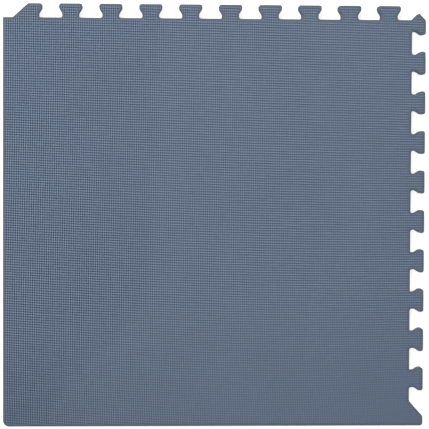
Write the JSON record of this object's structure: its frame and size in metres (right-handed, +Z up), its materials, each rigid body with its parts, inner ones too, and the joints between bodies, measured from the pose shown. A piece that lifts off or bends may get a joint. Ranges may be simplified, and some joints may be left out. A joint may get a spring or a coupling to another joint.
{
  "type": "blocking mat tile",
  "caption": "Flat square corner tile of an interlocking foam blocking mat, with straight left and front edges, dovetail tabs on the other two, and a finely embossed face for pinning knitting.",
  "frame": {"origin": "on the floor under the centre of the overall square, tabs included", "axes": "+Z up through the thickness, with the embossed face on top; +X towards one tabbed edge, +Y towards the other"},
  "size_m": [0.3182, 0.3182, 0.01],
  "materials": {
    "face_foam": "embossed matt closed-cell foam skin",
    "core_foam": "die-cut closed-cell foam, fine open bubbles",
    "back_foam": "finely embossed matt closed-cell foam skin"
  },
  "bodies": {
    "root": {"face_sheet": "face_foam", "foam_core": "core_foam", "back_sheet": "back_foam"}
  },
  "joints": []
}
